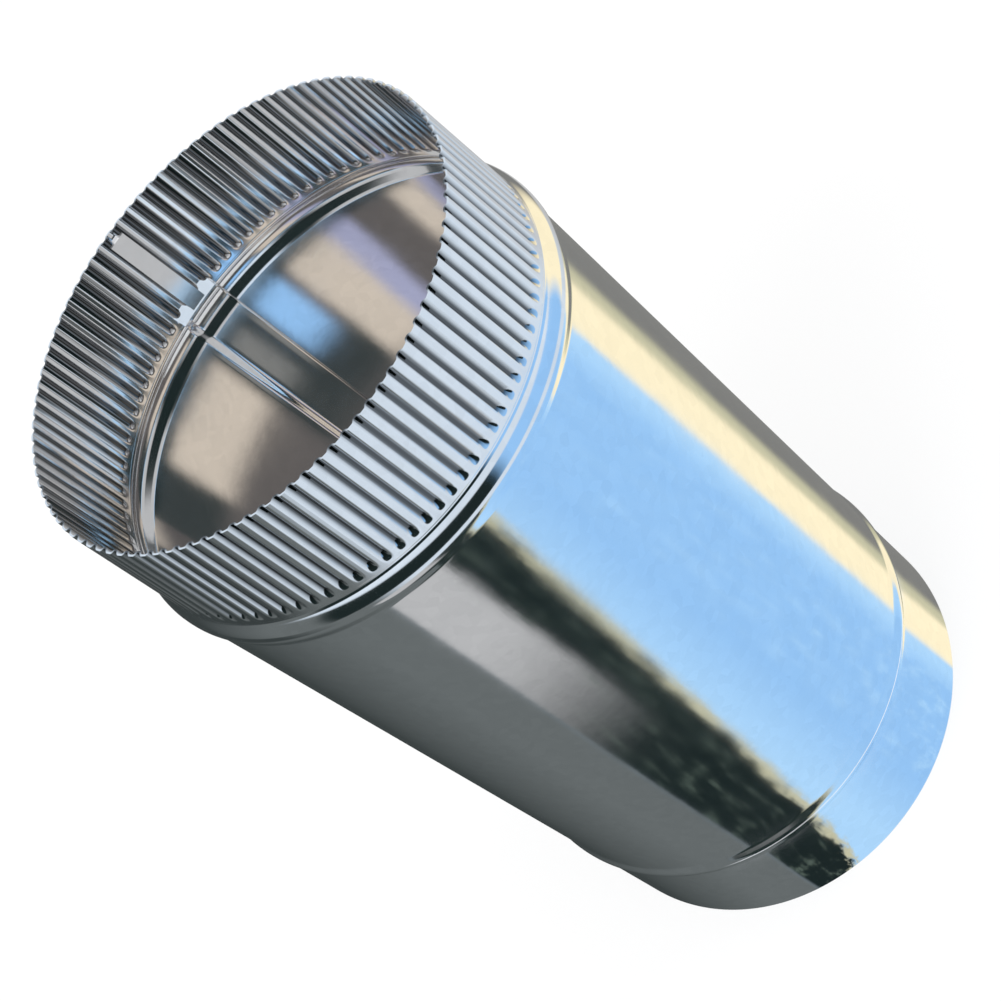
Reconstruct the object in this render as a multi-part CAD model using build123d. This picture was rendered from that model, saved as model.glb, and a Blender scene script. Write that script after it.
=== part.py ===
"""Round duct connector rolled from one galvanised sheet.

It stands on its plain end: plain collar, low bead, straight body, stop bead, and a crimped end on top.
A flat lock seam, two hooked edges pressed together, runs up the inside.
"""
import os
from math import atan, degrees, sqrt, tan

from build123d import *

# Sheet and overall sizes, millimetres
LENGTH = 285.0
BODY_RADIUS = 75.0
SHEET = 0.55

# Clamp bead on the plain collar
CLAMP_BEAD_HEIGHT = 41.5
CLAMP_BEAD_WIDTH = 7.0
CLAMP_BEAD_CREST = 1.8
CLAMP_BEAD_RISE = 1.0

# Stop bead under the crimp
STOP_BEAD_RISE = 1.2
STOP_BEAD_FLANK = 3.5
STOP_BEAD_CREST = 1.5
STOP_BEAD_SHOULDER = 7.2

# Crimped end
NECK_DROP = 1.2
RIM_DROP = 2.6
FLUTE_COUNT = 98
FLUTE_LENGTH = 38.0
FLUTE_DEPTH = 1.5
FLUTE_MOUTH = 2.7
FLUTE_FLOOR = 0.9
FLUTE_RUNOUT = 3.0
PLAIN_STRIP = 1.0
NECK_STRIP = 1.1

# Lock seam, widths measured round the sheet, angle counted from +X
SEAM_ANGLE = 87.5
SEAM_LAP = 13.7
SEAM_JOG = 3.3
SEAM_GAP = 0.1
FOLD_NOSE = 0.45
TONGUE_WIDTH = 6.0
TONGUE_OFFSET = 5.2
TONGUE_BELOW_RIM = 3.0
TONGUE_SEAT = 0.1

# Layers of the lock seam, counted inwards from the outer skin
WALL_LAYER = 0
INNER_RETURN_LAYER = 1
OUTER_RETURN_LAYER = 2
LEAF_LAYER = 3
NOSE_TAPER = 0.6

# How far a cutter or a blank runs past the face it trims
TRIM = 1.0

# Radii of the outer skin
neck_radius = BODY_RADIUS - NECK_DROP
rim_radius = BODY_RADIUS - RIM_DROP

# Drop and run of the round shoulder from the stop bead's crest to the neck
shoulder_drop = STOP_BEAD_RISE + NECK_DROP
shoulder_run = sqrt(shoulder_drop * (2 * STOP_BEAD_SHOULDER - shoulder_drop))

# Levels up the axis, from the rim down
flute_foot = LENGTH - FLUTE_LENGTH
collar_foot = flute_foot - PLAIN_STRIP
stop_bead_height = collar_foot - NECK_STRIP - shoulder_run

# Lean of the crimped collar and run of a flute's flank across the sheet
collar_lean = (neck_radius - rim_radius) / (LENGTH - collar_foot)
flank_run = (FLUTE_MOUTH - FLUTE_FLOOR) / 2

# Run and slope of the beads' straight flanks
clamp_flank = (CLAMP_BEAD_WIDTH - CLAMP_BEAD_CREST) / 2
clamp_slope = atan(CLAMP_BEAD_RISE / clamp_flank)
stop_slope = atan(STOP_BEAD_RISE / STOP_BEAD_FLANK)

# Depth from one layer of the seam to the next
layer_step = SHEET + SEAM_GAP


def round_sheet(width):
    """Angle that a width measured round the body takes up."""
    return degrees(width / BODY_RADIUS)


def clamp_bead(depth):
    """Corners of the clamp bead at a depth under the skin: a flat crest between two straight flanks."""
    body = BODY_RADIUS - depth
    crest = body + CLAMP_BEAD_RISE
    draw_in = depth * tan(clamp_slope / 2)
    foot_half = CLAMP_BEAD_WIDTH / 2 - draw_in
    crest_half = CLAMP_BEAD_CREST / 2 - draw_in
    return [
        (body, CLAMP_BEAD_HEIGHT - foot_half),
        (crest, CLAMP_BEAD_HEIGHT - crest_half),
        (crest, CLAMP_BEAD_HEIGHT + crest_half),
        (body, CLAMP_BEAD_HEIGHT + foot_half),
    ]


def stop_bead(depth):
    """Corners of the stop bead at a depth under the skin: a straight flank and a flat crest."""
    body = BODY_RADIUS - depth
    crest = body + STOP_BEAD_RISE
    flank_top = stop_bead_height - STOP_BEAD_CREST + depth * tan(stop_slope / 2)
    return [(body, flank_top - STOP_BEAD_FLANK), (crest, flank_top), (crest, stop_bead_height)]


def wall_line(depth):
    """Line of the wall from the plain end to the foot of the crimped collar, at a depth under the skin."""
    neck = neck_radius - depth
    layer_run = sqrt(shoulder_drop * (2 * (STOP_BEAD_SHOULDER - depth) - shoulder_drop))
    shoulder_end = (neck, stop_bead_height + layer_run)
    straights = Polyline((BODY_RADIUS - depth, 0), *clamp_bead(depth), *stop_bead(depth))
    shoulder = TangentArc(straights @ 1, shoulder_end, tangent=(0, 1))
    return [straights, shoulder, Line(shoulder_end, (neck, collar_foot))]


def wall_section(angle, outer_depth, inner_depth):
    """Upright section of the wall between two depths, standing at an angle round the axis."""
    foot = Line((BODY_RADIUS - outer_depth, 0), (BODY_RADIUS - inner_depth, 0))
    head = Line((neck_radius - outer_depth, collar_foot), (neck_radius - inner_depth, collar_foot))
    section = make_face([foot, head, *wall_line(outer_depth), *wall_line(inner_depth)])
    return Rot(Z=angle) * (Plane.XZ * section)


def seam_section(angle, outer, inner):
    """Section of the wall from one layer of the seam through to another."""
    return wall_section(angle, outer * layer_step, inner * layer_step + SHEET)


def curved(start, end, outer, inner):
    """Part of the sheet between two angles, from one layer through to another."""
    return revolve(seam_section(start, outer, inner), Axis.Z, end - start)


def sloped(start, end, start_layers, end_layers):
    """Part of the sheet that passes from some layers to others between two angles."""
    return loft([seam_section(start, *start_layers), seam_section(end, *end_layers)], ruled=True)


def rolled_sheet():
    """Wall of the duct with both of its edges hooked into the lock seam."""
    sheet_width = round_sheet(SHEET)
    nose_width = round_sheet(FOLD_NOSE)
    clearance = round_sheet(SEAM_GAP)

    inner_fold = SEAM_ANGLE + nose_width
    inner_hook = inner_fold + sheet_width
    jog_foot = SEAM_ANGLE + round_sheet(SEAM_LAP)
    jog_head = jog_foot + round_sheet(SEAM_JOG)
    outer_fold = jog_foot - clearance - nose_width
    outer_hook = outer_fold - sheet_width

    inner_layers = (INNER_RETURN_LAYER, LEAF_LAYER)
    inner_tip = (INNER_RETURN_LAYER + NOSE_TAPER, LEAF_LAYER - NOSE_TAPER)
    outer_layers = (WALL_LAYER, OUTER_RETURN_LAYER)
    outer_tip = (WALL_LAYER + NOSE_TAPER, OUTER_RETURN_LAYER - NOSE_TAPER)

    wall = curved(jog_head, outer_hook + 360, WALL_LAYER, WALL_LAYER)
    jog = sloped(jog_foot, jog_head, (LEAF_LAYER, LEAF_LAYER), (WALL_LAYER, WALL_LAYER))
    inner_leaf = curved(inner_hook, jog_foot, LEAF_LAYER, LEAF_LAYER)
    inner_bend = curved(inner_fold, inner_hook, *inner_layers)
    inner_nose = sloped(SEAM_ANGLE, inner_fold, inner_tip, inner_layers)
    inner_return = curved(inner_hook, outer_hook - clearance, INNER_RETURN_LAYER, INNER_RETURN_LAYER)
    outer_bend = curved(outer_hook, outer_fold, *outer_layers)
    outer_nose = sloped(outer_fold, outer_fold + nose_width, outer_layers, outer_tip)
    outer_return = curved(inner_hook + clearance, outer_hook, OUTER_RETURN_LAYER, OUTER_RETURN_LAYER)
    inner_edge = jog.fuse(inner_leaf, inner_bend, inner_nose, inner_return, glue=True)
    outer_edge = outer_bend.fuse(outer_nose, outer_return, glue=True)
    return wall.fuse(outer_edge, glue=True).fuse(inner_edge, glue=True)


def collar_radius(height):
    """Outer radius of the crimped collar, which draws in from the neck to the rim."""
    return neck_radius - collar_lean * (height - collar_foot)


def flute_tool(start, inset):
    """Wedge of one flute from a start depth in to its floor, with a sloping foot.

    With no inset it is the groove in the outer skin, and with an inset of one sheet the ridge behind it.
    """
    flank_shift = inset * tan(atan(FLUTE_DEPTH / flank_run) / 2)
    foot_shift = inset * tan(atan(FLUTE_DEPTH / FLUTE_RUNOUT) / 2)
    floor_depth = FLUTE_DEPTH + inset
    height = floor_depth - start

    floor_half = FLUTE_FLOOR / 2 + flank_shift
    mouth_half = floor_half + flank_run * height / FLUTE_DEPTH
    floor_foot = FLUTE_RUNOUT - foot_shift
    foot_run = FLUTE_RUNOUT * height / FLUTE_DEPTH
    length = FLUTE_LENGTH + 2 * TRIM - floor_foot + foot_run
    wedge = Wedge(
        2 * mouth_half, height, length, mouth_half - floor_half, foot_run, mouth_half + floor_half, length,
        align=(Align.CENTER, Align.MIN, Align.MIN),
    )
    return Rot(Z=90) * (Pos(Y=start, Z=floor_foot - foot_run) * wedge)


def round_collar(tool):
    """Copies of a flute tool, leaning with the collar, one for each flute."""
    leaning = Pos(X=collar_radius(flute_foot), Z=flute_foot) * (Rot(Y=-degrees(atan(collar_lean))) * tool)
    return [Rot(Z=turn * 360 / FLUTE_COUNT) * leaning for turn in range(FLUTE_COUNT)]


def crimped_collar():
    """Leaning collar with a groove pressed in for each flute, so that the sheet keeps its thickness."""
    top = LENGTH + TRIM
    section = make_face(Polyline(
        (neck_radius, collar_foot),
        (collar_radius(top), top),
        (collar_radius(top) - SHEET, top),
        (neck_radius - SHEET, collar_foot),
        close=True,
    ))
    blank = revolve(Plane.XZ * section, Axis.Z)
    ridged = blank.fuse(*round_collar(flute_tool(SHEET / 2, SHEET)))
    pressed = ridged.cut(*round_collar(flute_tool(-TRIM, 0)))
    return split(pressed, bisect_by=Plane.XY.offset(LENGTH), keep=Keep.BOTTOM)


def seam_tongue():
    """End of the inner leaf, cut narrow, that runs up inside the crimp and is pressed onto its ridges."""
    top = LENGTH - TONGUE_BELOW_RIM
    foot_radius = neck_radius - LEAF_LAYER * layer_step
    top_radius = collar_radius(top) - FLUTE_DEPTH - SHEET + TONGUE_SEAT
    section = make_face(Polyline(
        (foot_radius, collar_foot),
        (top_radius, top),
        (top_radius - SHEET, top),
        (foot_radius - SHEET, collar_foot),
        close=True,
    ))
    start = SEAM_ANGLE + round_sheet(TONGUE_OFFSET)
    return revolve(Rot(Z=start) * (Plane.XZ * section), Axis.Z, round_sheet(TONGUE_WIDTH))


def seam_end():
    """Layers of the seam pressed solid in the plain strip, which closes the top of the seam."""
    outside = neck_radius - SHEET / 2
    inside = neck_radius - LEAF_LAYER * layer_step - SHEET
    section = make_face(Polyline(
        (outside, collar_foot),
        (outside, flute_foot),
        (inside, flute_foot),
        (inside, collar_foot),
        close=True,
    ))
    start = SEAM_ANGLE + round_sheet(FOLD_NOSE)
    return revolve(Rot(Z=start) * (Plane.XZ * section), Axis.Z, round_sheet(SEAM_LAP + SEAM_JOG - FOLD_NOSE))


duct = rolled_sheet().fuse(crimped_collar() + seam_end() + seam_tongue(), glue=True)

os.makedirs("parts", exist_ok=True)
export_step(duct, "parts/duct_body.step")
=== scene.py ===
"""Round duct connector: a galvanised sheet with two beads, a crimped end and a lock seam, on a stage."""
from math import atan2, cos, pi, radians, sin, sqrt, tau

import bmesh
import bpy
from bpy.props import FloatProperty, FloatVectorProperty, IntProperty, PointerProperty
from mathutils import Matrix, Vector


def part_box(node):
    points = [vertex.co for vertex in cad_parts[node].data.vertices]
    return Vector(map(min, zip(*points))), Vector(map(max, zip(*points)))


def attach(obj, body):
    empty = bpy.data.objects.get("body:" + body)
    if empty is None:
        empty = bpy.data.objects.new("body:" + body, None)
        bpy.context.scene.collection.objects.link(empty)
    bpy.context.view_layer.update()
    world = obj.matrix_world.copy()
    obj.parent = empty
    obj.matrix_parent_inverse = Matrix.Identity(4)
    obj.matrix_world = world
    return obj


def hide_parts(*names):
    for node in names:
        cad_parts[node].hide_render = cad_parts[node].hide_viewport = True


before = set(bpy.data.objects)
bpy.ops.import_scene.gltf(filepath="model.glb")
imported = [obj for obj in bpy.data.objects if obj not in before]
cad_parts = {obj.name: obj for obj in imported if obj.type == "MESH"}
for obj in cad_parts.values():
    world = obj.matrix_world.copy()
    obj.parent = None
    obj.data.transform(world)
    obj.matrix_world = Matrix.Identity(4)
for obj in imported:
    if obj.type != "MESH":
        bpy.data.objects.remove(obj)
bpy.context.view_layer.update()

bl_info = {
    "name": "Duct connector",
    "version": (1, 0, 0),
    "blender": (4, 5, 0),
    "location": "View3D > Sidebar > Duct",
    "description": "Models a round galvanised duct connector and the stage that it stands on",
    "category": "Add Mesh",
}

MM = 0.001
DUCT_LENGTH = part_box("duct_body")[1].z
CENTRE = Vector((0, 0, 0))
UP = Vector((0, 0, 1))

# Fineness of the mesh
WALL_COLUMNS = 294
COLUMNS_PER_FLUTE = 12
CORNER_SEGMENTS = 4
SHOULDER_STEPS = 6
FOLD_STEPS = 8
LEAF_STEPS = 6
JOG_STEPS = 8
RUNOUT_ROWS = 8
FLUTE_ROWS = 4
SHARP_ANGLE = radians(50)
WELD = 0.01 * MM

# Layers from the wall in to the seam's inner leaf
LEAF_LAYERS = 3

# Zinc: spangles and clouds to the metre, detail of the clouds, and the cloud tones that bound the shine
SPANGLE_SCALE = 320
CLOUD_SCALE = 45
CLOUD_DETAIL = 4
CLOUD_TONES = (0.3, 0.7)

# Floor: its size, and the share of it that shows plain white
FLOOR_RADIUS = 3.0
FLOOR_SIDES = 96
FLOOR_WHITE = 0.7

# Mat and tent round the duct: columns, height of the mat above the floor, its reach, height of the tent
TENT_COLUMNS = 360
MAT_LIFT = 0.2 * MM
MAT_REACH = 0.9
TENT_HEIGHT = 1.5

# Sleeve inside the duct: columns, the stretch of wall that mirrors it, clearance from the outer skin
SLEEVE_COLUMNS = 240
SLEEVE_SPAN = (radians(35), radians(147))
SLEEVE_CLEARANCE = 3.5 * MM

# Mottles on the mat: how many to a turn and to a metre, their grain and their middle tone
MOTTLES_PER_TURN = 60
MOTTLES_PER_METRE = 90
MOTTLE_SCALE = 1.6
MOTTLE_DETAIL = 6
MOTTLE_GRAIN = 0.65
MIDDLE_TONE = 0.5

# Degrees: a full turn, how far mottles shift an edge, how far the dark band leans at a reach of a metre
FULL_TURN = 360
EDGE_WANDER = 12
DARK_LEAN = 36

# Edges of the mat's bands by bearing in degrees, each from where it starts to where it is complete
LIGHTER_LEFT = (-82, -76)
LIGHTER_RIGHT = (-50, -54)
DARK_LEFT = (-119.2, -118)
DARK_RIGHT = (-108, -110)
PATCH_RIGHT = (-103, -106)
FRINGE_LEFT = (-110.2, -109)
FRINGE_RIGHT = (-106, -107.6)
RING_LEFT = (-130, -122)
RING_RIGHT = (-28, -36)

# Edges of the mat's bands by reach in metres
RING_INSIDE = (0.0235, 0.0255)
RING_OUTSIDE = (0.0315, 0.0295)
PATCH_REACH = (0.1, 0.19)
CRIMP_REACH = (0.28, 0.31)
FAR_REACH = (0.46, 0.52)
TOP_REACH = (1.44, 1.56)

# Edges of the mat's mottles by tone
LIGHTER_TONE = (0.45, 0.75)
GREEN_TONE = (0.52, 0.66)
FRINGE_TONE = (0.4, 0.5)

# Edges of the sleeve's bands by level, the height in metres on the wall that mirrors them
PATCH_FOOT_LEVEL = (0.16, 0.185)
PATCH_HEAD_LEVEL = (0.198, 0.214)
BEAD_LEVEL = (0.235, 0.238)
NECK_LEVEL = (0.2435, 0.245)
CRIMP_LEVEL = (0.2475, 0.25)
RIM_LEVEL = (0.285, 0.295)


def size(name, description, millimetres):
    """Length property with its default given in millimetres."""
    return FloatProperty(
        name=name, description=description, default=millimetres * MM, min=0, unit="LENGTH", precision=5
    )


def tint(name, description, colour):
    """Colour property."""
    return FloatVectorProperty(
        name=name, description=description, default=colour, size=3, min=0, max=1, subtype="COLOR"
    )


def point(name, description, metres):
    """Place property."""
    return FloatVectorProperty(
        name=name, description=description, default=metres, subtype="XYZ", unit="LENGTH"
    )


def rotation(name, description, degrees):
    """Angle property with its default given in degrees."""
    return FloatProperty(name=name, description=description, default=radians(degrees), unit="ROTATION")


def fraction(name, description, default):
    """Property between 0 and 1."""
    return FloatProperty(name=name, description=description, default=default, min=0, max=1)


def wattage(name, description, watts):
    """Property for the power of a lamp."""
    return FloatProperty(name=name, description=description, default=watts, min=0, unit="POWER")


class DuctSheetSettings(bpy.types.PropertyGroup):
    """Sizes of the rolled and crimped sheet."""

    length: FloatProperty(
        name="Length", description="From the plain edge to the crimped rim",
        default=DUCT_LENGTH, unit="LENGTH",
    )
    body_radius: size("Body radius", "Outer radius of the straight body", 75.0)
    sheet: size("Sheet", "Thickness of the galvanised sheet", 0.55)
    clamp_height: size("Clamp bead height", "Middle of the clamp bead above the plain edge", 41.5)
    clamp_width: size("Clamp bead width", "Width of the clamp bead at its foot", 7.0)
    clamp_crest: size("Clamp bead crest", "Width of the clamp bead's flat crest", 1.8)
    clamp_rise: size("Clamp bead rise", "How far the clamp bead stands out", 1.0)
    stop_rise: size("Stop bead rise", "How far the stop bead stands out", 1.2)
    stop_flank: size("Stop bead flank", "Height of the stop bead's lower flank", 3.2)
    stop_crest: size("Stop bead crest", "Height of the stop bead's flat crest", 1.5)
    stop_shoulder: size("Stop bead shoulder", "Radius of the round shoulder above the crest", 7.2)
    corner_reach: size("Corner reach", "How far a bead's rounded corner reaches along the sheet", 0.7)
    neck_drop: size("Neck drop", "How far the neck lies inside the body", 1.2)
    rim_drop: size("Rim drop", "How far the rim lies inside the body", 2.6)
    flute_count: IntProperty(
        name="Flutes", description="Number of crimp flutes round the rim", default=98, min=3
    )
    flute_length: size("Flute length", "From the flutes' feet to the rim", 38.0)
    flute_depth: size("Flute depth", "Depth of a flute's groove", 1.0)
    flute_mouth: size("Flute mouth", "Width of a groove at the outer skin", 2.7)
    flute_floor: size("Flute floor", "Width of a groove's floor", 0.6)
    flute_runout: size("Flute run-out", "Height of a groove's sloping foot", 3.4)
    plain_strip: size("Plain strip", "Smooth strip under the flutes' feet", 1.0)
    neck_strip: size("Neck strip", "Straight neck between the plain strip and the stop bead", 1.1)
    seam_angle: rotation("Seam angle", "Place of the inner fold round the duct", 87.5)
    seam_lap: size("Seam lap", "Width of the lock seam's inner leaf", 13.7)
    seam_jog: size("Seam jog", "Width over which the leaf steps back to the wall", 3.3)
    seam_gap: size("Seam gap", "Hairline between the layers of the seam", 0.1)
    tongue_width: size("Tongue width", "Width of the strip that runs up inside the crimp", 6.0)
    tongue_offset: size("Tongue offset", "From the inner fold to the strip", 5.2)
    tongue_below_rim: size("Tongue below rim", "From the rim to the strip's square end", 3.0)


class GalvanisedSettings(bpy.types.PropertyGroup):
    """Look of the zinc skin."""

    bright: tint("Bright zinc", "Colour of the clear spangles", (0.84, 0.85, 0.87))
    dull: tint("Dull zinc", "Colour of the dull spangles", (0.79, 0.80, 0.82))
    # Painted shade: a near-black colour that darkens the crimp's grooves where shade falls
    painted_groove_shade: tint("Painted groove shade", "Painted shade darkening the crimp's grooves", (0.11, 0.115, 0.12))
    waviness: size("Waviness", "Height of the faint waves left in the rolled sheet", 0.06)
    smooth: fraction("Smooth", "Lowest roughness of the skin", 0.07)
    rough: fraction("Rough", "Highest roughness of the skin", 0.14)


class DuctStageSettings(bpy.types.PropertyGroup):
    """Camera, floor and lamps."""

    camera_place: point("Camera place", "Where the camera stands", (0.0029, -0.4332, 0.5707))
    camera_dip: rotation("Camera dip", "How far the camera looks down", 43.155)
    camera_roll: rotation("Camera roll", "How far the camera is rolled", -52.706)
    lens: FloatProperty(name="Lens", description="Focal length in millimetres", default=70.13, min=1)
    floor_colour: tint("Floor", "Colour of the floor", (0.86, 0.86, 0.86))
    lamp_width: size("Lamp width", "Width of each square lamp", 1000.0)
    lamp_aim: point("Lamp aim", "Where the lamps look", (0, 0, 0.15))
    key_place: point("Key lamp place", "Where the stronger lamp hangs", (-0.9, -0.6, 1.4))
    key_power: wattage("Key lamp power", "Power of the stronger lamp", 12)
    fill_place: point("Fill lamp place", "Where the weaker lamp hangs", (1.1, -0.2, 1.0))
    fill_power: wattage("Fill lamp power", "Power of the weaker lamp", 5)


class DuctScreenSettings(bpy.types.PropertyGroup):
    """Glow and colours of the screens that the metal mirrors."""

    glow: FloatProperty(name="Glow", description="Strength of the screens", default=1.2, min=0)
    grey: tint("Grey", "Grey of the duct's dim side", (0.13, 0.145, 0.145))
    dark_grey: tint("Dark grey", "Darker grey at the far left and inside", (0.04, 0.048, 0.048))
    warm_grey: tint("Warm grey", "Warm grey at the far right and on the seam", (0.2, 0.2, 0.19))
    black: tint("Black", "Dark band on the body and dark ring inside", (0.012, 0.02, 0.02))
    green_grey: tint("Green grey", "Mottles in the dark band", (0.09, 0.12, 0.1))
    light_grey: tint("Light grey", "Patch in the dark band and parts of the crimp", (0.48, 0.48, 0.48))
    blue: tint("Blue", "Broad band on the body and patch inside", (0.3, 0.55, 0.88))
    light_blue: tint("Light blue", "Edges of the blue band and line inside", (0.42, 0.68, 0.95))
    cream: tint("Cream", "Warm band beside the blue one", (1.0, 0.88, 0.6))
    olive: tint("Olive", "Narrow dull bands beside the cream and dark ones", (0.55, 0.53, 0.36))
    white: tint("White", "White on the crimp", (0.64, 0.72, 0.8))
    bright: tint("Bright", "White line under the beads", (0.95, 0.97, 1.0))
    brown: tint("Brown", "Brown grey inside the duct", (0.115, 0.105, 0.1))
    beige: tint("Beige", "Warm patches inside the duct", (0.6, 0.52, 0.43))
    lilac: tint("Lilac", "Lilac patch inside the duct", (0.36, 0.37, 0.52))


def smooth_step(share):
    """Soft ramp from 0 to 1."""
    share = min(max(share, 0.0), 1.0)
    return share * share * (3 - 2 * share)


def of_type(geometry, kind):
    """Items of one kind out of an operator's result."""
    return [item for item in geometry if isinstance(item, kind)]


def heading(vert):
    """Level direction from the duct's axis to a vertex."""
    return Vector((vert.co.x, vert.co.y, 0)).normalized()


def upright_wire(bm, points):
    """Wire through points given as radius and height, standing in the XZ plane."""
    verts = [bm.verts.new((radius, 0, height)) for radius, height in points]
    edges = [bm.edges.new(pair) for pair in zip(verts, verts[1:])]
    return verts, edges


def roll_on(bm, column, turn, inward=0.0):
    """Extrudes the sheet's end column by a turn about the axis and a shift towards it."""
    grown = bmesh.ops.extrude_edge_only(bm, edges=column)["geom"]
    verts = of_type(grown, bmesh.types.BMVert)
    bmesh.ops.rotate(bm, verts=verts, cent=CENTRE, matrix=Matrix.Rotation(turn, 3, "Z"))
    bmesh.ops.translate(bm, verts=verts, vec=-inward * heading(verts[0]))
    ends = set(verts)
    return [edge for edge in of_type(grown, bmesh.types.BMEdge) if ends.issuperset(edge.verts)]


def roll_along(bm, column, turn, steps, inward=0.0):
    """Rolls the sheet on in even turns, easing over from one layer to another."""
    for step in range(steps):
        ease = smooth_step((step + 1) / steps) - smooth_step(step / steps)
        column = roll_on(bm, column, turn / steps, inward * ease)
    return column


def fold_out(bm, column, turn, reach):
    """Folds the sheet back on itself in a half round, outwards over one layer."""
    for step in range(FOLD_STEPS):
        start = pi * step / FOLD_STEPS
        end = pi * (step + 1) / FOLD_STEPS
        column = roll_on(bm, column, turn * (sin(end) - sin(start)), reach * (cos(end) - cos(start)))
    return column


def wall_column(bm, sizes):
    """Wire up the middle of the sheet, from the plain edge to the crimp's foot, with rounded corners."""
    body = sizes.body_radius - sizes.sheet / 2
    neck = body - sizes.neck_drop
    clamp_crest = body + sizes.clamp_rise
    stop_crest = body + sizes.stop_rise
    neck_top = sizes.length - sizes.flute_length - sizes.plain_strip
    drop = sizes.stop_rise + sizes.neck_drop
    stop_height = neck_top - sizes.neck_strip - sqrt(drop * (2 * sizes.stop_shoulder - drop))
    crest_foot = stop_height - sizes.stop_crest
    shoulder = sizes.stop_shoulder - sizes.sheet / 2
    turning = atan2(sqrt(drop * (2 * shoulder - drop)), shoulder - drop)
    round_over = [
        (stop_crest - shoulder * (1 - cos(turning * step / SHOULDER_STEPS)),
         stop_height + shoulder * sin(turning * step / SHOULDER_STEPS))
        for step in range(1, SHOULDER_STEPS + 1)
    ]
    points = [
        (body, 0),
        (body, sizes.clamp_height - sizes.clamp_width / 2),
        (clamp_crest, sizes.clamp_height - sizes.clamp_crest / 2),
        (clamp_crest, sizes.clamp_height + sizes.clamp_crest / 2),
        (body, sizes.clamp_height + sizes.clamp_width / 2),
        (body, crest_foot - sizes.stop_flank),
        (stop_crest, crest_foot),
        (stop_crest, stop_height),
        *round_over,
        (neck, neck_top),
    ]
    verts, _ = upright_wire(bm, points)
    corners = [*verts[1:7], verts[-2]]
    bmesh.ops.bevel(
        bm, geom=corners, offset=sizes.corner_reach, offset_type="OFFSET", affect="VERTICES",
        segments=CORNER_SEGMENTS, profile=0.5, material=-1,
    )
    return bm.edges[:]


def rolled_wall(bm, sizes):
    """Wall of the duct, from the free edge of one hook once round to the free edge of the other."""
    layer = sizes.sheet + sizes.seam_gap

    def angle(width):
        return width / sizes.body_radius

    jog_foot = sizes.seam_angle + angle(sizes.seam_lap)
    jog_head = jog_foot + angle(sizes.seam_jog)
    inner_bend = sizes.seam_angle + angle(sizes.sheet / 2 + layer)
    outer_bend = jog_foot - angle(sizes.sheet / 2 + layer + sizes.seam_gap)

    column = wall_column(bm, sizes)
    verts = bm.verts[:]
    bmesh.ops.translate(bm, verts=verts, vec=((1 - LEAF_LAYERS) * layer, 0, 0))
    bmesh.ops.rotate(bm, verts=verts, cent=CENTRE, matrix=Matrix.Rotation(inner_bend, 3, "Z"))

    column = roll_along(bm, column, outer_bend - inner_bend, LEAF_STEPS)
    column = fold_out(bm, column, angle(layer), layer)
    ends = list({vert for edge in column for vert in edge.verts})
    spun = bmesh.ops.spin(
        bm, geom=ends + column, cent=CENTRE, axis=UP, angle=jog_head - tau - outer_bend,
        steps=WALL_COLUMNS, use_merge=False, use_duplicate=False,
    )
    column = of_type(spun["geom_last"], bmesh.types.BMEdge)
    column = roll_along(bm, column, jog_foot - jog_head, JOG_STEPS, LEAF_LAYERS * layer)
    column = roll_along(bm, column, inner_bend - jog_foot, LEAF_STEPS)
    column = fold_out(bm, column, -angle(layer), layer)
    roll_along(bm, column, outer_bend - inner_bend - angle(layer), LEAF_STEPS)


def collar_radius(sizes, height):
    """Middle of the sheet on the crimped collar, which draws in from the neck to the rim."""
    neck = sizes.body_radius - sizes.neck_drop - sizes.sheet / 2
    foot = sizes.length - sizes.flute_length - sizes.plain_strip
    share = (height - foot) / (sizes.length - foot)
    return neck - share * (sizes.rim_drop - sizes.neck_drop)


def crimped_collar(bm, sizes):
    """Ring of sheet above the neck, with a flute pushed in at each pitch."""
    flute_foot = sizes.length - sizes.flute_length
    runout_top = flute_foot + sizes.flute_runout
    heights = [flute_foot - sizes.plain_strip]
    heights += [flute_foot + sizes.flute_runout * row / RUNOUT_ROWS for row in range(RUNOUT_ROWS)]
    straight = sizes.length - runout_top
    heights += [runout_top + straight * row / FLUTE_ROWS for row in range(FLUTE_ROWS + 1)]
    pitch = tau / sizes.flute_count
    verts, column = upright_wire(bm, [(collar_radius(sizes, height), height) for height in heights])
    bmesh.ops.spin(
        bm, geom=verts + column, cent=CENTRE, axis=UP, angle=pitch, steps=COLUMNS_PER_FLUTE,
        use_merge=False, use_duplicate=False,
    )
    press_flutes(bm, sizes, flute_foot)
    bmesh.ops.spin(
        bm, geom=bm.verts[:] + bm.edges[:] + bm.faces[:], cent=CENTRE, axis=UP, angle=tau - pitch,
        steps=sizes.flute_count - 1, use_merge=False, use_duplicate=True,
    )
    bmesh.ops.remove_doubles(bm, verts=bm.verts[:], dist=WELD)


def press_flutes(bm, sizes, flute_foot):
    """Moves the collar's vertices in towards the axis to form the flutes, and marks the grooves for the
    painted shade.
    """
    pitch = tau / sizes.flute_count
    flank = (sizes.flute_mouth - sizes.flute_floor) / 2
    reach = sizes.flute_mouth / 2 + sizes.sheet / 4
    groove = bm.verts.layers.float.new("groove")
    for vert in bm.verts:
        turn = atan2(vert.co.y, vert.co.x) / pitch
        aside = abs(turn - round(turn)) * pitch * collar_radius(sizes, vert.co.z)
        across = smooth_step((reach - aside) / flank)
        along = smooth_step((vert.co.z - flute_foot) / sizes.flute_runout)
        vert.co -= heading(vert) * sizes.flute_depth * across * along
        # This groove mark also sets how much painted shade the zinc lays into the groove
        vert[groove] = across * along


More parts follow.
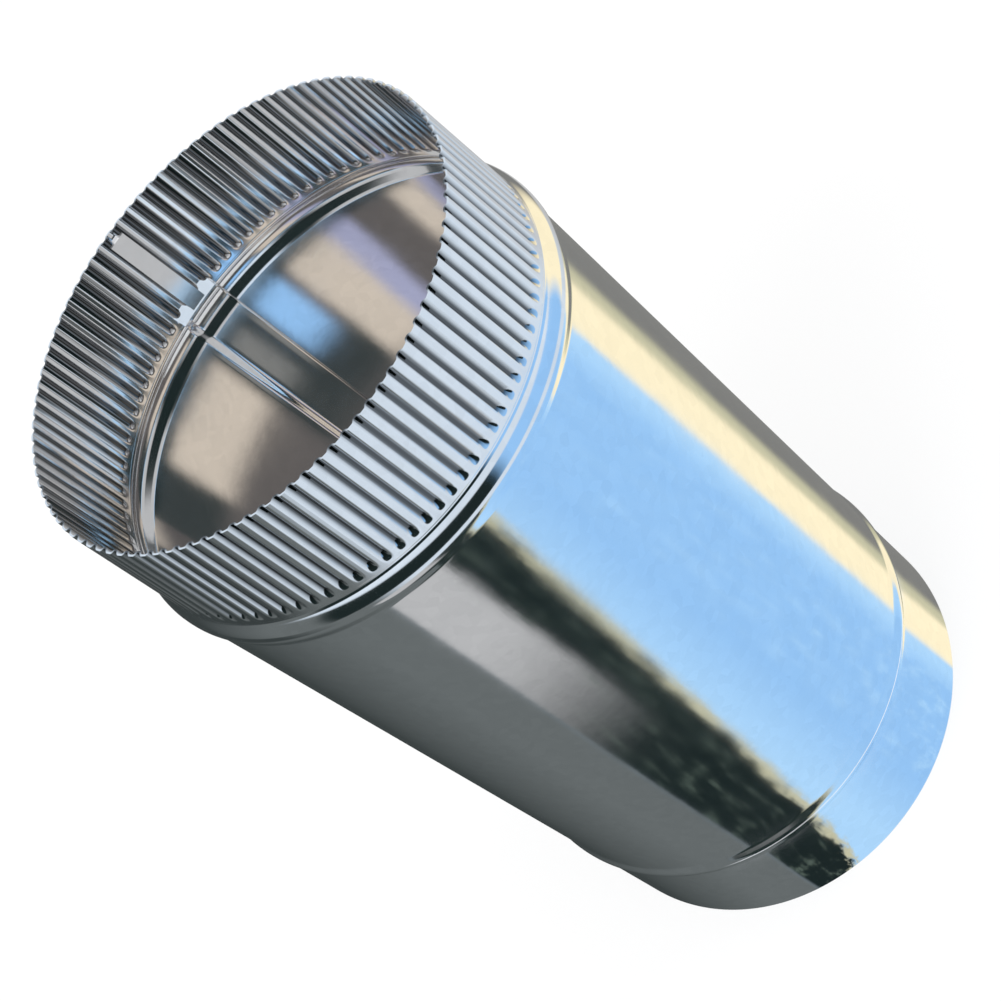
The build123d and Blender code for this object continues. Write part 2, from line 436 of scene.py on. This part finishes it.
def seam_tongue(bm, sizes):
    """End of the seam's inner leaf, cut narrow, that runs up inside the crimp."""
    layer = sizes.sheet + sizes.seam_gap
    foot = sizes.length - sizes.flute_length - sizes.plain_strip
    top = sizes.length - sizes.tongue_below_rim
    points = [
        (collar_radius(sizes, foot) - LEAF_LAYERS * layer, foot),
        (collar_radius(sizes, top) - sizes.flute_depth - sizes.sheet, top),
        (collar_radius(sizes, top), top + sizes.sheet),
    ]
    verts, column = upright_wire(bm, points)
    start = sizes.seam_angle + sizes.tongue_offset / sizes.body_radius
    bmesh.ops.rotate(bm, verts=verts, cent=CENTRE, matrix=Matrix.Rotation(start, 3, "Z"))
    roll_along(bm, column, sizes.tongue_width / sizes.body_radius, LEAF_STEPS)


def seam_end(bm, sizes):
    """Layers of the seam squeezed together under the crimp, sloping up into it to close the seam's top.
    """
    layer = sizes.sheet + sizes.seam_gap
    top = sizes.length - sizes.flute_length
    foot = top - sizes.plain_strip
    inside = collar_radius(sizes, foot) - LEAF_LAYERS * layer
    points = [
        (inside - sizes.sheet / 2, foot + sizes.sheet / 2),
        (collar_radius(sizes, top), top + sizes.flute_runout),
    ]
    verts, wire = upright_wire(bm, points)
    start = sizes.seam_angle + sizes.sheet / sizes.body_radius
    bmesh.ops.rotate(bm, verts=verts, cent=CENTRE, matrix=Matrix.Rotation(start, 3, "Z"))
    width = sizes.seam_lap + sizes.seam_jog - sizes.sheet
    roll_along(bm, wire, width / sizes.body_radius, LEAF_STEPS)


def add_to(whole, part):
    """Puts one shape's mesh into the whole."""
    mesh = bpy.data.meshes.new("part")
    part.to_mesh(mesh)
    part.free()
    whole.from_mesh(mesh)
    bpy.data.meshes.remove(mesh)


def finished_piece(context, name, bm, material):
    """Object at the origin that holds the mesh, with its material."""
    mesh = bpy.data.meshes.new(name)
    bm.to_mesh(mesh)
    bm.free()
    piece = bpy.data.objects.new(name, mesh)
    context.scene.collection.objects.link(piece)
    mesh.materials.append(material)
    return piece


def thicken(context, piece, sheet):
    """Gives the sheet its thickness to both sides of its middle, and keeps its cut edges sharp."""
    solid = piece.modifiers.new("Sheet thickness", "SOLIDIFY")
    solid.thickness = sheet
    solid.offset = 0
    solid.use_even_offset = True
    context.view_layer.objects.active = piece
    bpy.ops.object.modifier_apply(modifier=solid.name)
    for face in piece.data.polygons:
        face.use_smooth = True
    piece.data.set_sharp_from_angle(angle=SHARP_ANGLE)


def attribute(tree, name):
    """Value that a mesh keeps under a name."""
    node = tree.nodes.new("ShaderNodeAttribute")
    node.attribute_name = name
    return node.outputs["Fac"]


def noise(tree, place, scale, detail, grain=0.5):
    """Cloudy tones from 0 to 1."""
    node = tree.nodes.new("ShaderNodeTexNoise")
    node.inputs["Scale"].default_value = scale
    node.inputs["Detail"].default_value = detail
    node.inputs["Roughness"].default_value = grain
    tree.links.new(place, node.inputs["Vector"])
    return node.outputs["Fac"]


def math_node(tree, operation, first, second=0.0):
    """Math node fed by sockets or plain numbers."""
    node = tree.nodes.new("ShaderNodeMath")
    node.operation = operation
    for socket, value in zip(node.inputs, (first, second)):
        if isinstance(value, (int, float)):
            socket.default_value = value
        else:
            tree.links.new(value, socket)
    return node.outputs["Value"]


def product(tree, *shares):
    """Share where all the given shares hold."""
    whole = shares[0]
    for share in shares[1:]:
        whole = math_node(tree, "MULTIPLY", whole, share)
    return whole


def soft_edge(tree, value, edge):
    """Smooth ramp from 0 at an edge's first value to 1 at its second."""
    node = tree.nodes.new("ShaderNodeMapRange")
    node.interpolation_type = "SMOOTHSTEP"
    node.inputs["From Min"].default_value = edge[0]
    node.inputs["From Max"].default_value = edge[1]
    tree.links.new(value, node.inputs["Value"])
    return node.outputs["Result"]


def blend_colour(tree, share, first, second):
    """Mix of two colours, each a socket or a plain colour."""
    node = tree.nodes.new("ShaderNodeMix")
    node.data_type = "RGBA"
    tree.links.new(share, node.inputs["Factor"])
    for name, value in (("A", first), ("B", second)):
        if isinstance(value, bpy.types.NodeSocket):
            tree.links.new(value, node.inputs[name])
        else:
            node.inputs[name].default_value = (*value, 1)
    return node.outputs["Result"]


def galvanised_zinc(look):
    """Zinc skin with faint spangles and waves, a slightly uneven shine and painted shade darkening the
    crimp's grooves.
    """
    material = bpy.data.materials.new("galvanised_zinc")
    material.use_nodes = True
    tree = material.node_tree
    shader = tree.nodes["Principled BSDF"]
    shader.inputs["Metallic"].default_value = 1.0

    place = tree.nodes.new("ShaderNodeTexCoord").outputs["Object"]
    spangle = tree.nodes.new("ShaderNodeTexVoronoi")
    spangle.inputs["Scale"].default_value = SPANGLE_SCALE
    tree.links.new(place, spangle.inputs["Vector"])
    cloud = noise(tree, place, CLOUD_SCALE, CLOUD_DETAIL)

    tone = blend_colour(tree, spangle.outputs["Color"], look.dull, look.bright)
    # Painted shade: the groove mark blends the zinc towards a near-black colour in the crimp's grooves
    tone = blend_colour(tree, attribute(tree, "groove"), tone, look.painted_groove_shade)
    tree.links.new(tone, shader.inputs["Base Color"])

    shine = tree.nodes.new("ShaderNodeMapRange")
    shine.inputs["From Min"].default_value = CLOUD_TONES[0]
    shine.inputs["From Max"].default_value = CLOUD_TONES[1]
    shine.inputs["To Min"].default_value = look.smooth
    shine.inputs["To Max"].default_value = look.rough
    tree.links.new(cloud, shine.inputs["Value"])
    tree.links.new(shine.outputs["Result"], shader.inputs["Roughness"])

    waves = tree.nodes.new("ShaderNodeBump")
    waves.inputs["Strength"].default_value = 1.0
    waves.inputs["Distance"].default_value = look.waviness
    tree.links.new(cloud, waves.inputs["Height"])
    tree.links.new(waves.outputs["Normal"], shader.inputs["Normal"])
    return material


class DUCT_OT_sheet(bpy.types.Operator):
    """Model the rolled, beaded and crimped sheet of the duct"""

    bl_idname = "duct.sheet"
    bl_label = "Duct Sheet"

    def execute(self, context):
        sizes = context.scene.duct_sheet
        whole = bmesh.new()
        for shape in (crimped_collar, rolled_wall, seam_tongue, seam_end):
            part = bmesh.new()
            shape(part, sizes)
            bmesh.ops.recalc_face_normals(part, faces=part.faces[:])
            add_to(whole, part)
        piece = finished_piece(context, "duct_sheet", whole, galvanised_zinc(context.scene.duct_zinc))
        thicken(context, piece, sizes.sheet)
        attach(piece, "root")
        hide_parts("duct_body")
        return {"FINISHED"}


def bare_material(name):
    """Material with an output and nothing else, and its node tree."""
    material = bpy.data.materials.new(name)
    material.use_nodes = True
    material.node_tree.nodes.clear()
    material.node_tree.nodes.new("ShaderNodeOutputMaterial")
    return material, material.node_tree


def mixed_surface(tree, share, first, second):
    """Makes the surface go over from one shader to another by a share."""
    blend = tree.nodes.new("ShaderNodeMixShader")
    tree.links.new(share, blend.inputs["Fac"])
    tree.links.new(first, blend.inputs[1])
    tree.links.new(second, blend.inputs[2])
    tree.links.new(blend.outputs["Shader"], tree.nodes["Material Output"].inputs["Surface"])


def pale_ground(colour):
    """Pale floor, whiter to the camera and in metal and glass, that keeps part of the object's shadow."""
    material, tree = bare_material("pale_floor")
    lit = tree.nodes.new("ShaderNodeBsdfDiffuse")
    lit.inputs["Color"].default_value = (*colour, 1)
    white = tree.nodes.new("ShaderNodeEmission")
    path = tree.nodes.new("ShaderNodeLightPath").outputs
    seen = math_node(tree, "MAXIMUM", path["Is Camera Ray"], path["Is Glossy Ray"])
    seen = math_node(tree, "MAXIMUM", seen, path["Is Transmission Ray"])
    share = math_node(tree, "MULTIPLY", seen, FLOOR_WHITE)
    mixed_surface(tree, share, lit.outputs["BSDF"], white.outputs["Emission"])
    return material


def white_world(world):
    """Plain white world."""
    world.use_nodes = True
    background = world.node_tree.nodes["Background"]
    background.inputs["Color"].default_value = (1, 1, 1, 1)
    background.inputs["Strength"].default_value = 1.0


def glowing(name, strength):
    """Material that glows, with its node tree and its emission node."""
    material, tree = bare_material(name)
    material.cycles.emission_sampling = "NONE"
    glow = tree.nodes.new("ShaderNodeEmission")
    glow.inputs["Strength"].default_value = strength
    tree.links.new(glow.outputs["Emission"], tree.nodes["Material Output"].inputs["Surface"])
    return material, tree, glow


def band_ramp(tree, turn, bands):
    """Colour bands round the duct, each from a start to an end in degrees, blended in between."""
    ramp = tree.nodes.new("ShaderNodeValToRGB")
    tree.links.new(turn, ramp.inputs["Fac"])
    stops = ramp.color_ramp.elements
    for start, end, colour in bands:
        for angle in (start, end):
            stop = stops.new(angle / FULL_TURN)
            stop.color = (*colour, 1)
    stops.remove(stops[0])
    stops.remove(stops[-1])
    return ramp.outputs["Color"]


def mat_mottles(tree, turn, reach):
    """Mottles that look alike up and along the wall that mirrors them."""
    spread = tree.nodes.new("ShaderNodeCombineXYZ")
    tree.links.new(math_node(tree, "MULTIPLY", turn, MOTTLES_PER_TURN), spread.inputs["X"])
    tree.links.new(math_node(tree, "MULTIPLY", reach, MOTTLES_PER_METRE), spread.inputs["Y"])
    return noise(tree, spread.outputs["Vector"], MOTTLE_SCALE, MOTTLE_DETAIL, MOTTLE_GRAIN)


def body_bands(tree, screens, turn, reach):
    """Colours of the mat near the duct, which the straight body and the beads' undersides mirror."""
    mottle = mat_mottles(tree, turn, reach)
    degrees = math_node(tree, "SUBTRACT", math_node(tree, "MULTIPLY", turn, FULL_TURN), FULL_TURN)
    wander = math_node(tree, "SUBTRACT", mottle, MIDDLE_TONE)
    wander = math_node(tree, "MULTIPLY", wander, EDGE_WANDER)
    rough_degrees = math_node(tree, "ADD", degrees, wander)
    lean = math_node(tree, "MULTIPLY", math_node(tree, "SQRT", reach), DARK_LEAN)
    leaning_degrees = math_node(tree, "SUBTRACT", rough_degrees, lean)

    colour = band_ramp(tree, turn, [
        (1, 150, screens.grey),
        (190, 200, screens.dark_grey),
        (229, 241, screens.grey),
        (250, 264, screens.light_blue),
        (280, 305, screens.blue),
        (310, 312.5, screens.light_blue),
        (313.7, 323.5, screens.cream),
        (325.5, 328, screens.olive),
        (331, 359, screens.warm_grey),
    ])
    lighter = product(
        tree,
        soft_edge(tree, mottle, LIGHTER_TONE),
        soft_edge(tree, degrees, LIGHTER_LEFT),
        soft_edge(tree, degrees, LIGHTER_RIGHT),
    )
    colour = blend_colour(tree, lighter, colour, screens.light_blue)

    # The dark band's right edge leans, with a light patch further out and a dull fringe along the edge
    right_of_grey = soft_edge(tree, degrees, DARK_LEFT)
    band = product(tree, right_of_grey, soft_edge(tree, leaning_degrees, DARK_RIGHT))
    dark = blend_colour(tree, soft_edge(tree, mottle, GREEN_TONE), screens.black, screens.green_grey)
    colour = blend_colour(tree, band, colour, dark)
    patch = product(
        tree,
        right_of_grey,
        soft_edge(tree, rough_degrees, PATCH_RIGHT),
        soft_edge(tree, reach, PATCH_REACH),
    )
    colour = blend_colour(tree, patch, colour, screens.light_grey)
    fringe = product(
        tree,
        soft_edge(tree, leaning_degrees, FRINGE_LEFT),
        soft_edge(tree, leaning_degrees, FRINGE_RIGHT),
        soft_edge(tree, mottle, FRINGE_TONE),
    )
    colour = blend_colour(tree, fringe, colour, screens.olive)

    # A white ring near the foot shows on the undersides of the beads
    ring = product(
        tree,
        soft_edge(tree, reach, RING_INSIDE),
        soft_edge(tree, reach, RING_OUTSIDE),
        soft_edge(tree, degrees, RING_LEFT),
        soft_edge(tree, degrees, RING_RIGHT),
    )
    return blend_colour(tree, ring, colour, screens.bright)


def tent_cloth(screens):
    """Glow of the mat and the tent, by bearing round the duct and by reach from its foot."""
    material, tree, glow = glowing("reflection_tent", screens.glow)
    turn = attribute(tree, "bearing")
    reach = attribute(tree, "reach")
    body = body_bands(tree, screens, turn, reach)
    crimp = band_ramp(tree, turn, [
        (1, 170, screens.light_grey),
        (200, 222, screens.dark_grey),
        (234, 243, screens.grey),
        (252, 312, screens.white),
        (335, 345, screens.light_grey),
    ])
    far = band_ramp(tree, turn, [
        (1, 170, screens.grey),
        (200, 210, screens.dark_grey),
        (225, 234, screens.grey),
        (237, 274, screens.black),
        (278, 308, screens.blue),
        (312, 328, screens.cream),
        (333, 359, screens.warm_grey),
    ])
    colour = blend_colour(tree, soft_edge(tree, reach, CRIMP_REACH), body, crimp)
    far = blend_colour(tree, soft_edge(tree, reach, TOP_REACH), far, screens.white)
    colour = blend_colour(tree, soft_edge(tree, reach, FAR_REACH), colour, far)
    tree.links.new(colour, glow.inputs["Color"])
    return material


def sleeve_cloth(screens):
    """Glow of the sleeve towards the duct's axis, by bearing and level on the wall that mirrors it."""
    material, tree, glow = glowing("reflection_sleeve", screens.glow)
    turn = attribute(tree, "bearing")
    level = attribute(tree, "level")
    upper = band_ramp(tree, turn, [
        (35, 41, screens.beige),
        (43, 54, screens.brown),
        (56, 61, screens.lilac),
        (63, 74, screens.beige),
        (76, 77, screens.brown),
        (78, 86, screens.blue),
        (88, 91, screens.dark_grey),
        (93, 98, screens.warm_grey),
        (100, 101.5, screens.dark_grey),
        (103.5, 129, screens.beige),
        (132, 147, screens.dark_grey),
    ])
    lower = band_ramp(tree, turn, [
        (35, 54, screens.brown),
        (57, 61, screens.lilac),
        (64, 73, screens.beige),
        (76, 101, screens.dark_grey),
        (104, 147, screens.brown),
    ])
    crimp = band_ramp(tree, turn, [
        (35, 58, screens.light_grey),
        (64, 70, screens.dark_grey),
        (76, 86, screens.white),
        (90, 100, screens.light_grey),
        (108, 116, screens.dark_grey),
        (122, 147, screens.light_grey),
    ])
    colour = screens.brown
    for edge, band in (
        (PATCH_FOOT_LEVEL, lower),
        (PATCH_HEAD_LEVEL, upper),
        (BEAD_LEVEL, screens.black),
        (NECK_LEVEL, screens.light_blue),
        (CRIMP_LEVEL, crimp),
        (RIM_LEVEL, screens.black),
    ):
        colour = blend_colour(tree, soft_edge(tree, level, edge), colour, band)
    tree.links.new(colour, glow.inputs["Color"])

    clear = tree.nodes.new("ShaderNodeBsdfTransparent")
    side = tree.nodes.new("ShaderNodeNewGeometry")
    mixed_surface(tree, side.outputs["Backfacing"], glow.outputs["Emission"], clear.outputs["BSDF"])
    return material


def reflection_tent(bm, radius, camera):
    """Mat and tent, in columns that run off as the wall mirrors the camera's lines of sight."""
    bearing = bm.verts.layers.float.new("bearing")
    reach = bm.verts.layers.float.new("reach")
    foot = bm.verts.new((radius, 0, MAT_LIFT))
    bmesh.ops.spin(
        bm, geom=[foot], cent=CENTRE, axis=UP, angle=tau, steps=TENT_COLUMNS,
        use_merge=False, use_duplicate=False,
    )
    bm.verts.ensure_lookup_table()
    for column, vert in enumerate(bm.verts):
        vert[bearing] = column / TENT_COLUMNS

    mat = of_type(bmesh.ops.extrude_edge_only(bm, edges=bm.edges[:])["geom"], bmesh.types.BMVert)
    for vert in mat:
        sight = Vector((vert.co.x - camera.x, vert.co.y - camera.y, 0)).normalized()
        outwards = heading(vert)
        if sight.dot(outwards) < 0:
            sight = sight.reflect(outwards)
        vert.co += MAT_REACH * sight
        vert[reach] = MAT_REACH
    rim = set(mat)
    far_edge = [edge for edge in bm.edges if rim.issuperset(edge.verts)]
    wall = of_type(bmesh.ops.extrude_edge_only(bm, edges=far_edge)["geom"], bmesh.types.BMVert)
    bmesh.ops.translate(bm, verts=wall, vec=(0, 0, TENT_HEIGHT))
    for vert in wall:
        vert[reach] = MAT_REACH + TENT_HEIGHT


def reflection_sleeve(bm, radius, height, camera):
    """Sleeve inside the duct, in columns that stand where the wall sends the camera's lines of sight."""
    bearing = bm.verts.layers.float.new("bearing")
    level = bm.verts.layers.float.new("level")
    first, last = SLEEVE_SPAN
    foot = bm.verts.new((radius * cos(first), radius * sin(first), MAT_LIFT))
    bmesh.ops.spin(
        bm, geom=[foot], cent=CENTRE, axis=UP, angle=last - first, steps=SLEEVE_COLUMNS,
        use_merge=False, use_duplicate=False,
    )
    bm.verts.ensure_lookup_table()
    for column, vert in enumerate(bm.verts):
        vert[bearing] = (first + (last - first) * column / SLEEVE_COLUMNS) / tau
    top = of_type(bmesh.ops.extrude_edge_only(bm, edges=bm.edges[:])["geom"], bmesh.types.BMVert)
    bmesh.ops.translate(bm, verts=top, vec=(0, 0, height))
    for vert in bm.verts:
        outwards = heading(vert)
        to_wall = Vector((vert.co.x - camera.x, vert.co.y - camera.y, 0))
        sight = to_wall.normalized().reflect(outwards)
        across = -2 * radius * outwards.dot(sight)
        steepness = across / to_wall.length
        vert[level] = (vert.co.z + steepness * camera.z) / (1 + steepness)
        vert.co += across * sight
    bmesh.ops.recalc_face_normals(bm, faces=bm.faces[:])
    bmesh.ops.reverse_faces(bm, faces=bm.faces[:])


def only_mirrored(screen):
    """Shows a screen in reflections alone, so that it neither lights nor shades anything."""
    screen.visible_camera = False
    screen.visible_diffuse = False
    screen.visible_transmission = False
    screen.visible_volume_scatter = False
    screen.visible_shadow = False


def lay_floor(context, stage):
    """Round floor under the duct."""
    bm = bmesh.new()
    bmesh.ops.create_circle(bm, cap_ends=True, segments=FLOOR_SIDES, radius=FLOOR_RADIUS)
    finished_piece(context, "pale_floor", bm, pale_ground(stage.floor_colour))


def hang_screens(context, sizes, screens, camera):
    """Screens round the duct and inside it, for the metal to mirror."""
    bm = bmesh.new()
    reflection_tent(bm, sizes.body_radius, camera)
    only_mirrored(finished_piece(context, "reflection_tent", bm, tent_cloth(screens)))
    bm = bmesh.new()
    reflection_sleeve(bm, sizes.body_radius - SLEEVE_CLEARANCE, sizes.length, camera)
    only_mirrored(finished_piece(context, "reflection_sleeve", bm, sleeve_cloth(screens)))


def soft_box(context, name, stage, place, watts):
    """Square area lamp that looks at the duct."""
    lamp = bpy.data.lights.new(name, "AREA")
    lamp.size = stage.lamp_width
    lamp.energy = watts
    holder = bpy.data.objects.new(name, lamp)
    holder.location = place
    holder.rotation_euler = (Vector(stage.lamp_aim) - Vector(place)).to_track_quat("-Z", "Y").to_euler()
    context.scene.collection.objects.link(holder)


def set_camera(context, stage):
    """Camera at its place, dipped and rolled."""
    lens = bpy.data.cameras.new("camera")
    lens.lens = stage.lens
    camera = bpy.data.objects.new("camera", lens)
    dip = Matrix.Rotation(pi / 2 - stage.camera_dip, 4, "X")
    roll = Matrix.Rotation(stage.camera_roll, 4, "Z")
    camera.matrix_world = Matrix.Translation(stage.camera_place) @ (dip @ roll)
    context.scene.collection.objects.link(camera)
    context.scene.camera = camera


class DUCT_OT_stage(bpy.types.Operator):
    """Set up the floor, the screens, the lamps and the camera"""

    bl_idname = "duct.stage"
    bl_label = "Duct Stage"

    def execute(self, context):
        scene = context.scene
        stage = scene.duct_stage
        scene.view_settings.view_transform = "Standard"
        scene.world = scene.world or bpy.data.worlds.new("white_world")
        white_world(scene.world)
        lay_floor(context, stage)
        hang_screens(context, scene.duct_sheet, scene.duct_screens, Vector(stage.camera_place))
        soft_box(context, "key_box", stage, stage.key_place, stage.key_power)
        soft_box(context, "fill_box", stage, stage.fill_place, stage.fill_power)
        set_camera(context, stage)
        return {"FINISHED"}


class DUCT_PT_panel(bpy.types.Panel):
    """Duct connector tools"""

    bl_idname = "DUCT_PT_panel"
    bl_label = "Duct Connector"
    bl_space_type = "VIEW_3D"
    bl_region_type = "UI"
    bl_category = "Duct"

    def draw(self, context):
        scene = context.scene
        for title, settings in (
            ("Sheet", scene.duct_sheet),
            ("Zinc", scene.duct_zinc),
            ("Stage", scene.duct_stage),
            ("Screens", scene.duct_screens),
        ):
            box = self.layout.box()
            box.label(text=title)
            for name in settings.__annotations__:
                box.prop(settings, name)
        self.layout.operator("duct.sheet")
        self.layout.operator("duct.stage")


CLASSES = (
    DuctSheetSettings,
    GalvanisedSettings,
    DuctStageSettings,
    DuctScreenSettings,
    DUCT_OT_sheet,
    DUCT_OT_stage,
    DUCT_PT_panel,
)


def register():
    """Adds the settings, operators and panel."""
    for item in CLASSES:
        bpy.utils.register_class(item)
    bpy.types.Scene.duct_sheet = PointerProperty(type=DuctSheetSettings)
    bpy.types.Scene.duct_zinc = PointerProperty(type=GalvanisedSettings)
    bpy.types.Scene.duct_stage = PointerProperty(type=DuctStageSettings)
    bpy.types.Scene.duct_screens = PointerProperty(type=DuctScreenSettings)


def unregister():
    """Takes them away again."""
    del bpy.types.Scene.duct_screens
    del bpy.types.Scene.duct_stage
    del bpy.types.Scene.duct_zinc
    del bpy.types.Scene.duct_sheet
    for item in reversed(CLASSES):
        bpy.utils.unregister_class(item)


def main():
    """Builds the piece and the stage."""
    register()
    bpy.ops.duct.sheet()
    bpy.ops.duct.stage()


if __name__ == "__main__":
    main()
